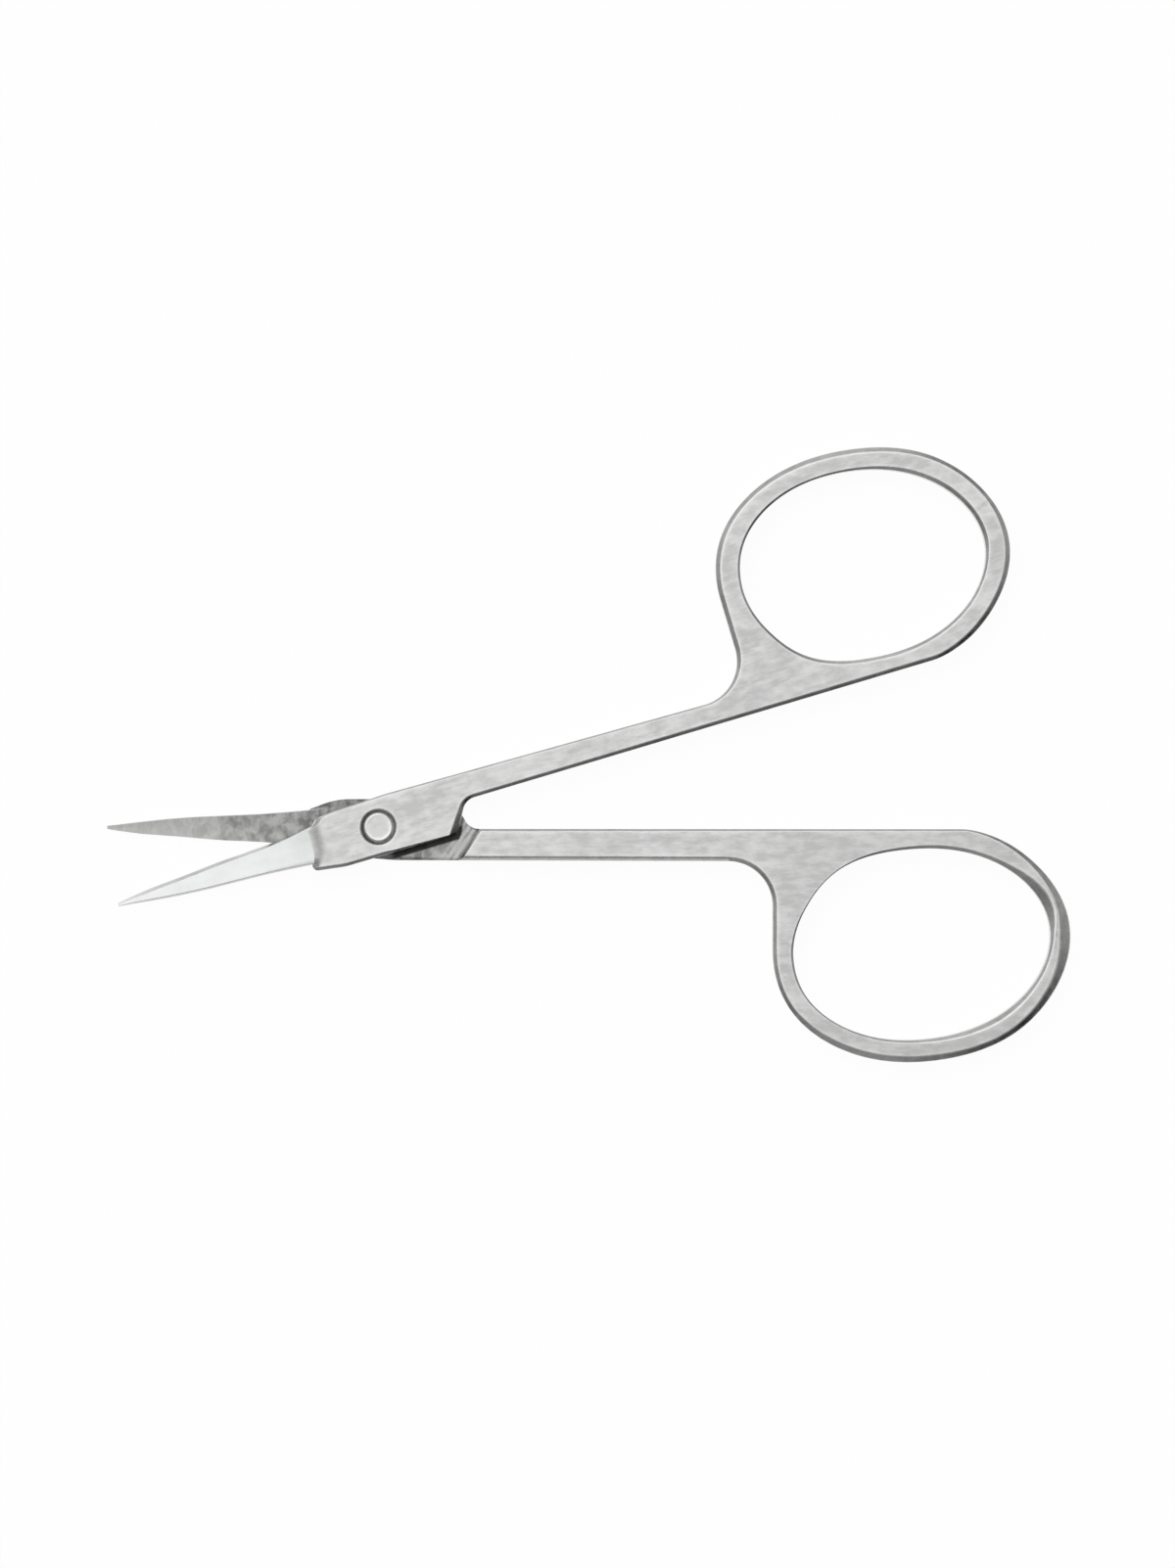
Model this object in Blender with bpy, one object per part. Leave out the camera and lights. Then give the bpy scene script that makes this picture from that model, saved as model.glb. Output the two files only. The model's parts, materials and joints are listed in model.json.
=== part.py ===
# Small straight eyebrow scissors: two steel halves that cross at one rivet.
# Units are metres. The scissors lie flat with the handles toward +X, and +Z is up.
# The world origin is on the rivet's axis, on the plane that the scissors rest on.
# Each half is drawn in its own frame: u runs along the handle, v toward its ring,
# and z is 0 at the plane where the two halves meet, with its outer face at +z.

from collections import namedtuple
from math import ceil, cos, hypot, pi, radians, sin, tan

import bmesh
import bpy
from mathutils import Vector

# Both halves together
THICKNESS = 0.0028
LAP_CLEARANCE = 0.00005
HANDLE_GAP = 0.0003
REST_OPENING_DEGREES = 16.6

# Edges of the forgings
EDGE_RADIUS = 0.00032
CORNER_ALLOWANCE = 0.00012

# The boss round the rivet, where each half is half as thick
BOSS_HALF_WIDTH = 0.00264
BOSS_BELLY = 0.00400
BOSS_BELLY_RADIUS = 0.00700
HEEL_REACH = 0.00690
NOTCH_DEGREES = 60.0
NOTCH_RADIUS = 0.00150
SHOULDER_DEGREES = 56.3
SHOULDER_CLEARANCE = 0.00086

# The toe of the boss, where it steps down to the blade and ends in a small horn
TOE_REACH = 0.00605
TOE_RADIUS = 0.00130
TOE_EDGE_DROP = 0.00026
TOE_BEND = 0.00040
TOE_BEND_RADIUS = 0.00150
HORN_RADIUS = 0.00050
THUMB_HORN_REACH = 0.00735
THUMB_HORN_DROP = 0.00050
FINGER_HORN_REACH = 0.00695
FINGER_HORN_DROP = 0.00110

# The straight shank between the boss and the ring
SHANK_START = 0.00150
SHANK_START_RADIUS = 0.00900
THUMB_SHANK_WIDTH = 0.00267
THUMB_SHANK_WIDTH_AT_RING = 0.00205
FINGER_SHANK_WIDTH = 0.00292
FINGER_SHANK_WIDTH_AT_RING = 0.00303
WEB_RADIUS = 0.00420

# The rings, given by their oval openings and the band round them
THUMB_REACH = 0.06416
THUMB_OPENING_LENGTH = 0.02310
THUMB_OPENING_WIDTH = 0.01766
THUMB_END_BAND = 0.00234
THUMB_SIDE_BAND = 0.00191
FINGER_REACH = 0.06462
FINGER_OPENING_LENGTH = 0.02418
FINGER_OPENING_WIDTH = 0.01794
FINGER_END_BAND = 0.00196
FINGER_SIDE_BAND = 0.00200
RING_FLAT = 0.00017
OPENING_SHIFT_ALONG = 0.00006
OPENING_SHIFT_ACROSS = 0.00010
RING_TILT_DEGREES = -7.7
OPENING_TILT_DEGREES = -6.6

# How far each oval swells or flattens, every 30 degrees from its far end
RING_SHARES = (1.002, 0.998, 1.009, 0.992, 1.000, 1.001, 0.985, 0.995, 1.000, 0.990, 1.015, 0.998)
OPENING_SHARES = (1.012, 1.001, 0.996, 0.993, 1.010, 1.008, 0.983, 0.983, 1.028, 0.992, 0.994, 1.003)

# The blades
BLADE_REACH = 0.02540
BLADE_EDGE_SIDE = 0.00200
BLADE_SPINE_SIDE = 0.00175
BLADE_THICKNESS = 0.00112
BLADE_TIP_THICKNESS = 0.00050
BLADE_RELIEF = 0.00003
BLADE_HOLLOW = 0.00004
BEVEL_WIDTH = 0.00030
BEVEL_LAND = 0.00006
SPINE_RADIUS = 0.00015

# Along the blade: shares of its reach, where its edge and its spine run as shares of their sides, and
# how high the outer face is at the edge as a share of its height at the spine
STATION_SHARES = (0.195, 0.245, 0.30, 0.36, 0.43, 0.50, 0.58, 0.65, 0.72, 0.79, 0.86, 0.91, 0.95, 0.98, 1.0)
EDGE_SHARES = (1.05, 0.98, 0.86, 0.765, 0.69, 0.645, 0.60, 0.53, 0.45, 0.385, 0.32, 0.25, 0.18, 0.125, 0.08)
SPINE_SHARES = (1.04, 0.95, 0.87, 0.795, 0.72, 0.67, 0.62, 0.575, 0.515, 0.43, 0.32, 0.235, 0.165, 0.115, 0.08)
EDGE_HEIGHT_SHARES = (0.99, 0.97, 0.90, 0.80, 0.70, 0.62, 0.57, 0.54, 0.56, 0.63, 0.72, 0.80, 0.86, 0.91, 0.93)
WAIST_SHARE = 0.46
BEVEL_LIMIT_SHARE = 0.30
SPINE_LIMIT_SHARE = 0.20

# The rivet: a flat head sunk in the finger half, its far end peened into the thumb half
RIVET_RADIUS = 0.00120
RIVET_CLEARANCE = 0.00005
HEAD_RADIUS = 0.00210
HEAD_HEIGHT = 0.00055
HEAD_BREAK = 0.00010
PEEN_RADIUS = 0.00150
PEEN_BREAK = 0.00017
PEEN_DEPTH = 0.00045
SINK_BREAK = 0.00010

# Fineness of the faceted rounds
EDGE_STEPS = 3
ROUND_STEP_DEGREES = 7.5
RING_STEP_DEGREES = 6.0
RIVET_SIDES = 48
SHARE_STEP_DEGREES = 30.0

# Cutters run this far past the faces that they cut, and turned bodies are welded along their axis
OVERRUN = 0.00100
WELD = 0.000001

Half = namedtuple(
    "Half",
    "horn_reach horn_drop shank shank_at_ring reach opening_length opening_width end_band side_band",
)

THUMB = Half(
    THUMB_HORN_REACH,
    THUMB_HORN_DROP,
    THUMB_SHANK_WIDTH,
    THUMB_SHANK_WIDTH_AT_RING,
    THUMB_REACH,
    THUMB_OPENING_LENGTH,
    THUMB_OPENING_WIDTH,
    THUMB_END_BAND,
    THUMB_SIDE_BAND,
)
FINGER = Half(
    FINGER_HORN_REACH,
    FINGER_HORN_DROP,
    FINGER_SHANK_WIDTH,
    FINGER_SHANK_WIDTH_AT_RING,
    FINGER_REACH,
    FINGER_OPENING_LENGTH,
    FINGER_OPENING_WIDTH,
    FINGER_END_BAND,
    FINGER_SIDE_BAND,
)

HALF_THICKNESS = THICKNESS / 2
INNER_FACE = LAP_CLEARANCE / 2
INNER_EDGE = HANDLE_GAP / 2


def clear_scene():
    """Remove whatever the file holds, so that only the scissors are left."""
    for thing in list(bpy.data.objects):
        bpy.data.objects.remove(thing, do_unlink=True)


def steel(name, colour, roughness):
    """A plain brushed steel."""
    material = bpy.data.materials.new(name)
    material.use_nodes = True
    shader = material.node_tree.nodes["Principled BSDF"]
    shader.inputs["Base Color"].default_value = (*colour, 1.0)
    shader.inputs["Metallic"].default_value = 1.0
    shader.inputs["Roughness"].default_value = roughness
    return material


def swelling(shares, degrees):
    """Read a closed table of shares at any angle, on a smooth curve through its entries."""
    place = (degrees / SHARE_STEP_DEGREES) % len(shares)
    first = int(place)
    part = place - first
    before, here, after, beyond = (shares[(first + step) % len(shares)] for step in (-1, 0, 1, 2))
    slope = (after - before) / 2
    next_slope = (beyond - here) / 2
    square = part * part
    cube = square * part
    rise = 3 * square - 2 * cube
    return here + (after - here) * rise + slope * (cube - 2 * square + part) + next_slope * (cube - square)


def oval_point(centre, half_length, half_width, tilt, shares, degrees):
    """A point of a tilted oval, counted in degrees from its far end."""
    share = swelling(shares, degrees)
    along = half_length * share * cos(radians(degrees))
    across = half_width * share * sin(radians(degrees))
    u = centre[0] + along * cos(tilt) - across * sin(tilt)
    v = centre[1] + along * sin(tilt) + across * cos(tilt)
    return (u, v)


def ring_oval(half):
    """Half sizes, tilt and centre of the ring's outer oval, which keeps the inner edge and the reach."""
    half_length = half.opening_length / 2 + half.end_band
    half_width = half.opening_width / 2 + half.side_band
    tilt = radians(RING_TILT_DEGREES)
    round_trip = [
        oval_point((0, 0), half_length, half_width, tilt, RING_SHARES, degrees)
        for degrees in range(360)
    ]
    farthest = max(u for u, v in round_trip)
    lowest = min(v for u, v in round_trip)
    centre = (half.reach - farthest, INNER_EDGE - RING_FLAT - lowest)
    return half_length, half_width, tilt, centre


def ring_outline(half):
    """The ring's outer edge, from the inner edge of the handle round to the web."""
    half_length, half_width, tilt, centre = ring_oval(half)

    def point(degrees):
        return oval_point(centre, half_length, half_width, tilt, RING_SHARES, degrees)

    start = min(range(-120, 0), key=lambda degrees: point(degrees)[1])
    while point(start)[1] < INNER_EDGE:
        start += 1
    end = min(range(120, 240), key=lambda degrees: point(degrees)[0])
    count = ceil((end - start) / RING_STEP_DEGREES)
    return [point(start + (end - start) * step / count) for step in range(count + 1)]


def opening_outline(half):
    """The edge of the ring's opening, anticlockwise."""
    centre = ring_oval(half)[3]
    middle = (centre[0] - OPENING_SHIFT_ALONG, centre[1] - OPENING_SHIFT_ACROSS)
    half_length = half.opening_length / 2
    half_width = half.opening_width / 2
    tilt = radians(OPENING_TILT_DEGREES)
    count = ceil(360.0 / RING_STEP_DEGREES)
    return [
        oval_point(middle, half_length, half_width, tilt, OPENING_SHARES, 360.0 * step / count)
        for step in range(count)
    ]


def rounded_corner(before, corner, after, radius):
    """The arc that replaces a corner between two neighbours, limited by the sides it runs into."""
    corner = Vector(corner)
    back = Vector(before) - corner
    ahead = Vector(after) - corner
    opening = back.angle(ahead)
    turn = pi - opening
    if radius == 0 or turn < radians(1.0):
        return [tuple(corner)]
    reach = min(radius * tan(turn / 2), back.length / 2, ahead.length / 2)
    arc_radius = reach / tan(turn / 2)
    bisector = (back.normalized() + ahead.normalized()).normalized()
    centre = corner + bisector * hypot(reach, arc_radius)
    first = corner + back.normalized() * reach - centre
    last = corner + ahead.normalized() * reach - centre
    sweep = first.angle_signed(last)
    count = max(2, ceil(abs(sweep) / radians(ROUND_STEP_DEGREES)))
    points = []
    for step in range(count + 1):
        angle = -sweep * step / count
        turned = Vector(
            (first.x * cos(angle) - first.y * sin(angle), first.x * sin(angle) + first.y * cos(angle))
        )
        points.append(tuple(centre + turned))
    return points


def half_outline(half):
    """The whole half in plan without its blade, anticlockwise from the notch beside the boss."""
    notch = HEEL_REACH + (BOSS_HALF_WIDTH + INNER_EDGE) / tan(radians(NOTCH_DEGREES))
    ring = ring_outline(half)
    corner_radius = EDGE_RADIUS + CORNER_ALLOWANCE
    corners = [
        ((ring[-1][0], INNER_EDGE + half.shank_at_ring), WEB_RADIUS),
        ((SHANK_START, INNER_EDGE + half.shank), SHANK_START_RADIUS),
        ((-BOSS_BELLY, BOSS_HALF_WIDTH), BOSS_BELLY_RADIUS),
        ((-TOE_REACH, BOSS_HALF_WIDTH - TOE_EDGE_DROP), TOE_RADIUS),
        ((-TOE_REACH, -TOE_BEND), TOE_BEND_RADIUS),
        ((-half.horn_reach, -BOSS_HALF_WIDTH + half.horn_drop), HORN_RADIUS),
        ((-BOSS_BELLY, -BOSS_HALF_WIDTH), BOSS_BELLY_RADIUS),
        ((HEEL_REACH, -BOSS_HALF_WIDTH), corner_radius),
        ((notch, INNER_EDGE), NOTCH_RADIUS),
    ]
    places = [ring[-1]] + [place for place, radius in corners] + [ring[0]]
    outline = list(ring)
    for index, (place, radius) in enumerate(corners):
        outline += rounded_corner(places[index], place, places[index + 2], radius)
    return outline


def moved_inward(loop, distance):
    """Move a closed loop of points to its left, which for an anticlockwise loop is inward."""
    moved = []
    for index, point in enumerate(loop):
        here = Vector(point)
        back = (here - Vector(loop[index - 1])).normalized()
        ahead = (Vector(loop[(index + 1) % len(loop)]) - here).normalized()
        first = Vector((-back.y, back.x))
        second = Vector((-ahead.y, ahead.x))
        moved.append(here + (first + second) * distance / (1 + first.dot(second)))
    return moved


def rim_levels(half_height, radius):
    """Inset and height of each level of a slab's rim, from its lower face to its upper face."""
    upper = []
    for step in range(EDGE_STEPS + 1):
        angle = pi / 2 * step / EDGE_STEPS
        upper.append((radius * (1 - cos(angle)), half_height - radius * (1 - sin(angle))))
    lower = [(inset, -height) for inset, height in reversed(upper)]
    return lower + upper


def rounded_slab(name, outline, opening):
    """A slab with one opening, all its rims rounded."""
    mesh = bmesh.new()
    caps = {0: [], -1: []}
    levels = rim_levels(HALF_THICKNESS, EDGE_RADIUS)
    hole = list(reversed(opening))
    for loop in (outline, hole):
        rings = []
        for inset, height in levels:
            points = moved_inward(loop, inset)
            rings.append([mesh.verts.new((point[0], point[1], height)) for point in points])
        for low, high in zip(rings, rings[1:]):
            for index in range(len(low)):
                following = (index + 1) % len(low)
                mesh.faces.new((low[index], low[following], high[following], high[index]))
        for end in caps:
            rim = rings[end]
            caps[end] += [mesh.edges.get((rim[index - 1], rim[index])) for index in range(len(rim))]
    for end, edges in caps.items():
        bmesh.ops.triangle_fill(mesh, edges=edges, use_beauty=True, normal=(0, 0, -1 if end == 0 else 1))
    bmesh.ops.recalc_face_normals(mesh, faces=mesh.faces)
    return finished_object(name, mesh)


def finished_object(name, mesh):
    """Put a bmesh into a new object of the scene."""
    data = bpy.data.meshes.new(name)
    mesh.to_mesh(data)
    mesh.free()
    thing = bpy.data.objects.new(name, data)
    bpy.context.scene.collection.objects.link(thing)
    return thing


def lofted(name, sections):
    """A closed body through sections that have the same number of points."""
    mesh = bmesh.new()
    loops = [[mesh.verts.new(point) for point in section] for section in sections]
    for near, far in zip(loops, loops[1:]):
        for index in range(len(near)):
            following = (index + 1) % len(near)
            mesh.faces.new((near[index], near[following], far[following], far[index]))
    mesh.faces.new(loops[0])
    mesh.faces.new(loops[-1])
    bmesh.ops.recalc_face_normals(mesh, faces=mesh.faces)
    return finished_object(name, mesh)


def turned(name, profile):
    """A body turned about the z axis from a profile of radii and heights that starts and ends on it."""
    mesh = bmesh.new()
    points = [mesh.verts.new((radius, 0, height)) for radius, height in profile]
    edges = [mesh.edges.new(pair) for pair in zip(points, points[1:])]
    bmesh.ops.spin(
        mesh,
        geom=points + edges,
        cent=(0, 0, 0),
        axis=(0, 0, 1),
        angle=2 * pi,
        steps=RIVET_SIDES,
        use_merge=True,
    )
    bmesh.ops.remove_doubles(mesh, verts=mesh.verts, dist=WELD)
    bmesh.ops.recalc_face_normals(mesh, faces=mesh.faces)
    return finished_object(name, mesh)


def prism(name, outline, bottom, top):
    """An upright prism over an outline."""
    sections = [[(u, v, height) for u, v in outline] for height in (bottom, top)]
    return lofted(name, sections)


def blade_section(reach_share, edge_share, spine_share, edge_height_share):
    """One cross-section of a blade: flat inner face, hollow outer face, sharp edge and rounded spine."""
    root_share, tip_share = STATION_SHARES[0], STATION_SHARES[-1]
    part = (reach_share - root_share) / (tip_share - root_share)
    u = -BLADE_REACH * reach_share
    edge = BLADE_EDGE_SIDE * edge_share
    spine = -BLADE_SPINE_SIDE * spine_share
    width = edge - spine
    bevel = min(BEVEL_WIDTH, width * BEVEL_LIMIT_SHARE)
    rounding = min(SPINE_RADIUS, width * SPINE_LIMIT_SHARE)
    inner = INNER_FACE + BLADE_RELIEF
    top = inner + BLADE_THICKNESS + (BLADE_TIP_THICKNESS - BLADE_THICKNESS) * part
    bevel_top = inner + (top - inner) * edge_height_share
    waist = spine + width * WAIST_SHARE
    hollow = min(BLADE_HOLLOW, BLADE_HOLLOW * width / BLADE_EDGE_SIDE)
    waist_top = bevel_top + (top - bevel_top) * (1 - WAIST_SHARE) - hollow
    return [
        (u, edge, inner),
        (u, edge, inner + BEVEL_LAND),
        (u, edge - bevel, bevel_top),
        (u, waist, waist_top),
        (u, spine + rounding, top),
        (u, spine, top - rounding),
        (u, spine, inner),
    ]


def blade(name):
    """The blade, with its root inside the boss."""
    tables = (STATION_SHARES, EDGE_SHARES, SPINE_SHARES, EDGE_HEIGHT_SHARES)
    sections = [blade_section(*shares) for shares in zip(*tables)]
    return lofted(name, sections)


def lap_cutter(name):
    """All that lies under the boss, up to the slanted shoulder where the full thickness begins."""
    slope = tan(radians(SHOULDER_DEGREES))
    low = -BOSS_HALF_WIDTH - OVERRUN
    high = INNER_EDGE + max(THUMB_SHANK_WIDTH, FINGER_SHANK_WIDTH) + OVERRUN
    shoulder = HEEL_REACH + SHOULDER_CLEARANCE
    outline = [
        (shoulder + (BOSS_HALF_WIDTH - low) / slope, low),
        (shoulder + (BOSS_HALF_WIDTH - high) / slope, high),
        (-BLADE_REACH - OVERRUN, high),
        (-BLADE_REACH - OVERRUN, low),
    ]
    return prism(name, outline, -HALF_THICKNESS - OVERRUN, INNER_FACE)


def thumb_bore(name):
    """The hole that the peened end of the rivet fills, with room for it to turn."""
    radius = RIVET_RADIUS + RIVET_CLEARANCE
    sink = PEEN_RADIUS + RIVET_CLEARANCE
    cone_top = HALF_THICKNESS - PEEN_BREAK
    cone_foot = HALF_THICKNESS - PEEN_DEPTH - RIVET_CLEARANCE
    mouth = sink + SINK_BREAK
    flare = SINK_BREAK * OVERRUN / PEEN_BREAK
    profile = [
        (0, -OVERRUN),
        (radius, -OVERRUN),
        (radius, cone_foot),
        (sink, cone_top),
        (mouth, HALF_THICKNESS),
        (mouth + flare, HALF_THICKNESS + OVERRUN),
        (0, HALF_THICKNESS + OVERRUN),
    ]
    return turned(name, profile)


def finger_bore(name):
    """The hole for the rivet's shank with a flat seat for its head."""
    radius = RIVET_RADIUS + RIVET_CLEARANCE
    seat = HEAD_RADIUS + RIVET_CLEARANCE
    profile = [
        (0, -OVERRUN),
        (radius, -OVERRUN),
        (radius, HALF_THICKNESS - HEAD_HEIGHT - RIVET_CLEARANCE),
        (seat, HALF_THICKNESS - HEAD_HEIGHT - RIVET_CLEARANCE),
        (seat, HALF_THICKNESS + OVERRUN),
        (0, HALF_THICKNESS + OVERRUN),
    ]
    return turned(name, profile)


def apply_tool(thing, tool, operation):
    """Cut a tool out of a thing, or join it on, and keep the tool out of sight."""
    modifier = thing.modifiers.new(tool.name, "BOOLEAN")
    modifier.operation = operation
    modifier.solver = "EXACT"
    modifier.object = tool
    tool.parent = thing
    tool.hide_render = True
    tool.display_type = "WIRE"


def scissor_half(name, half, bore, material):
    """One forging: ring, shank, boss and blade in a single piece of steel."""
    body = rounded_slab(name, half_outline(half), opening_outline(half))
    apply_tool(body, lap_cutter(name + "_lap_cutter"), "DIFFERENCE")
    apply_tool(body, bore(name + "_bore_cutter"), "DIFFERENCE")
    apply_tool(body, blade(name + "_blade_guide"), "UNION")
    body.data.materials.append(material)
    smooth_rounds(body)
    return body


def rivet(name, material):
    """The rivet that the two halves turn on, flat on both faces of the scissors."""
    profile = [
        (0, 0),
        (HEAD_RADIUS - HEAD_BREAK, 0),
        (HEAD_RADIUS, HEAD_BREAK),
        (HEAD_RADIUS, HEAD_HEIGHT),
        (RIVET_RADIUS, HEAD_HEIGHT),
        (RIVET_RADIUS, THICKNESS - PEEN_DEPTH),
        (PEEN_RADIUS, THICKNESS - PEEN_BREAK),
        (PEEN_RADIUS - PEEN_BREAK, THICKNESS),
        (0, THICKNESS),
    ]
    body = turned(name, profile)
    body.data.materials.append(material)
    smooth_rounds(body)
    return body


def smooth_rounds(thing):
    """Shade the rounds smooth and keep the real edges sharp."""
    thing.data.shade_smooth()
    thing.data.set_sharp_from_angle(angle=radians(30.0))


def main():
    clear_scene()
    pivot = bpy.data.objects.new("scissor_pivot", None)
    bpy.context.scene.collection.objects.link(pivot)

    thumb_steel = steel("thumb_half_steel", (0.62, 0.62, 0.61), 0.32)
    thumb = scissor_half("thumb_half", THUMB, thumb_bore, thumb_steel)
    thumb.parent = pivot
    thumb.location = (0, 0, HALF_THICKNESS)
    pivot.rotation_euler = (0, 0, radians(REST_OPENING_DEGREES))

    finger_steel = steel("finger_half_steel", (0.60, 0.60, 0.59), 0.34)
    finger = scissor_half("finger_half", FINGER, finger_bore, finger_steel)
    finger.location = (0, 0, HALF_THICKNESS)
    finger.rotation_euler = (pi, 0, 0)

    rivet("pivot_rivet", steel("rivet_steel", (0.64, 0.64, 0.63), 0.30))


main()
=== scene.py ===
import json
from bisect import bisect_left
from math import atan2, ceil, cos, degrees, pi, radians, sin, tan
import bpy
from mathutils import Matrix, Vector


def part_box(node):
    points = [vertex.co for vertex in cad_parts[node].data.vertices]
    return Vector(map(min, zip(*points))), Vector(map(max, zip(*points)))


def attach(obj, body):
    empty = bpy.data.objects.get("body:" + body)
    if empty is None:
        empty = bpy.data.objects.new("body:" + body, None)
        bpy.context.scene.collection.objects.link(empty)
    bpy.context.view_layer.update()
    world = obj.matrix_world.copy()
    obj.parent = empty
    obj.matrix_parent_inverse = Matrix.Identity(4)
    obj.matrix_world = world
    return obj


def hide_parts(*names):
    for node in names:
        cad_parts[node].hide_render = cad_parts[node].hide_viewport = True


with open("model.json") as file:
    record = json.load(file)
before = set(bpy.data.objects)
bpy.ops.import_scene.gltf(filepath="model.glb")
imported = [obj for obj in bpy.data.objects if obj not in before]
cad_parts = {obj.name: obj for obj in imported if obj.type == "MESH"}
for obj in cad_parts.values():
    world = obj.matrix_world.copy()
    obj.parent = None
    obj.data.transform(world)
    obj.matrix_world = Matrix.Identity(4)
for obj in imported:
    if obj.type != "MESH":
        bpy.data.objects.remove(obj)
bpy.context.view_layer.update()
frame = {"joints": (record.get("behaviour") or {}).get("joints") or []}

# Small straight eyebrow scissors: the finished surfaces of the two steel halves and their rivet.
# Units are metres. Each half is built in its own frame: u runs along the handle, v toward its ring,
# and z is 0 at the plane where the two halves meet, with the outer face at +z.

from types import SimpleNamespace

import bmesh
import bpy
from mathutils import Matrix, Vector

# From the frame: the pivot, how far the scissors stand open, and the thickness over both halves
PIVOT_JOINT = frame["joints"][0]
PIVOT = Vector(PIVOT_JOINT["pos_m"])
REST_OPENING_DEGREES = -PIVOT_JOINT["range_deg"][0]
RIVET_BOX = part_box("pivot_rivet")
THICKNESS = RIVET_BOX[1].z - RIVET_BOX[0].z
HEAD_RADIUS = RIVET_BOX[1].x
HALF_THICKNESS = THICKNESS / 2

# Both halves together
LAP_CLEARANCE = 0.00005
HANDLE_GAP = 0.0003
INNER_FACE = LAP_CLEARANCE / 2
INNER_EDGE = HANDLE_GAP / 2

# The boss round the rivet
BOSS_HALF_WIDTH = 0.00264
BOSS_BELLY = 0.00400
BOSS_BELLY_RADIUS = 0.00700
HEEL_REACH = 0.00690
HEEL_RADIUS = 0.00044
NOTCH_DEGREES = 60.0
NOTCH_RADIUS = 0.00150
SHOULDER_DEGREES = 56.3
SHOULDER_CLEARANCE = 0.00086

# The toe of the boss, with its soft step down to the blade
TOE_REACH = 0.00605
TOE_RADIUS = 0.00130
TOE_EDGE_DROP = 0.00026
TOE_BEND = 0.00040
TOE_BEND_RADIUS = 0.00150
TOE_REACH_OUT = 0.00060
TOE_SINK = 0.00001
TOE_FADE = 0.00050
TOE_CORNER_REACH = 0.00035
HORN_RADIUS = 0.00050

# The shank, and the ring, whose first few steps are rounded off
SHANK_START = 0.00150
SHANK_START_RADIUS = 0.00900
WEB_RADIUS = 0.00420
RING_FLAT = 0.00017
RING_START_RADIUS = 0.00500
RING_START_STEPS = 3
OPENING_SHIFT_ALONG = 0.00006
OPENING_SHIFT_ACROSS = 0.00010
RING_TILT_DEGREES = -7.7
OPENING_TILT_DEGREES = -6.6

# Where a ring's lowest point and its near end are looked for, in degrees from its far end
LOW_SIDE = range(-120, 0)
NEAR_SIDE = range(120, 240)

# How far each oval swells or flattens, every 30 degrees from its far end
RING_SHARES = (1.002, 0.998, 1.009, 0.992, 1.000, 1.001, 0.985, 0.995, 1.000, 0.990, 1.015, 0.998)
OPENING_SHARES = (1.012, 1.001, 0.996, 0.993, 1.010, 1.008, 0.983, 0.983, 1.028, 0.992, 0.994, 1.003)

# How wide the broken edges are, seen from above
RING_RIM = 0.00100
BELLY_RIM = 0.00036
HEEL_RIM = 0.00008
TOE_RIM = 0.00100
HORN_RIM = 0.00070
NOTCH_HEEL_RIM = 0.00070
NOTCH_RIM = 0.00050
SHOULDER_RIM = 0.00032
LAP_RIM = 0.00006

# The shape of a broken edge from the flat to the wall: how far out each step ends, its tilt, and how steep
# the soft step at the toe is there, as a share of its steepest part
RIM_STEPS = (
    (0.10, 2.0, 0.4), (0.18, 8.0, 0.65), (0.26, 16.0, 0.8), (0.34, 24.0, 0.9), (0.42, 30.0, 1.0),
    (0.52, 34.0, 1.0), (0.68, 35.0, 0.95), (0.84, 35.0, 0.75), (0.95, 36.0, 0.5), (0.985, 52.0, 0.35),
    (1.0, 74.0, 0.3),
)
STEEP_STEPS = 2

# The worn line beside each rim: its rows' distances from the rim and their wear, and its share of the rim
WEAR_WIDTH = 0.00006
WEAR_FADE = 0.00022
WEAR_ROWS = ((WEAR_WIDTH + WEAR_FADE, 0.0), (WEAR_WIDTH, 0.7))
SMALLEST_WEAR_SHARE = 0.08
RIM_WEAR_SHARE = 0.25

# How strong the painted shade is in each place, and how far it reaches in rows and in shares
TOE_SHADE = 0.40
TOE_CREST_SHADE = 0.11
FOOT_SHADE = 0.30
FOOT_SHARE = 0.30
# The groove round the rivet: painted shade, leaning toward the blades' side, and how fast it fades up the
# peened end
GROOVE_SHADE = 0.16
GROOVE_LEAN = 0.80
GROOVE_POWER = 3
SHOULDER_SHADE = 0.46
SHOULDER_ROWS = 4
SEAM_SHADOW = 0.90
SIDE_SEAM_SHARE = 0.50

# Painted shadow on the inner face along the other half's edge at rest, and a shallow dip, drawn by bump,
# under it
SEAM_WIDTH = 0.00068
NOTCH_SEAM_WIDTH = 0.00038
SHOULDER_SEAM_WIDTH = 0.00034
SEAM_FADE = 0.00020
SEAM_DEGREES = 9.0
SEAM_START = -0.00040
SEAM_TAPER = 0.00120

# The blades, with shares of the widths and heights at stations that are shares of the blade's reach
BLADE_REACH = 0.02540
BLADE_EDGE_SIDE = 0.00200
BLADE_SPINE_SIDE = 0.00175
BLADE_THICKNESS = 0.00112
BLADE_TIP_THICKNESS = 0.00050
BLADE_RELIEF = 0.00003
BLADE_HOLLOW = 0.00002
INNER_HOLLOW = 0.00003
BEVEL_WIDTH = 0.00030
BEVEL_LAND = 0.00006
SPINE_BEVEL = 0.00020
SPINE_TURN_SHARE = 0.25
SPINE_BEVEL_DEGREES = 54.0
SPINE_BREAK = 0.00006
STATION_SHARES = (0.195, 0.245, 0.30, 0.36, 0.43, 0.50, 0.58, 0.65, 0.72, 0.79, 0.86, 0.91, 0.95, 0.98, 1.0)
EDGE_SHARES = (1.05, 0.98, 0.86, 0.765, 0.69, 0.645, 0.60, 0.53, 0.45, 0.385, 0.32, 0.25, 0.18, 0.125, 0.08)
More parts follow.
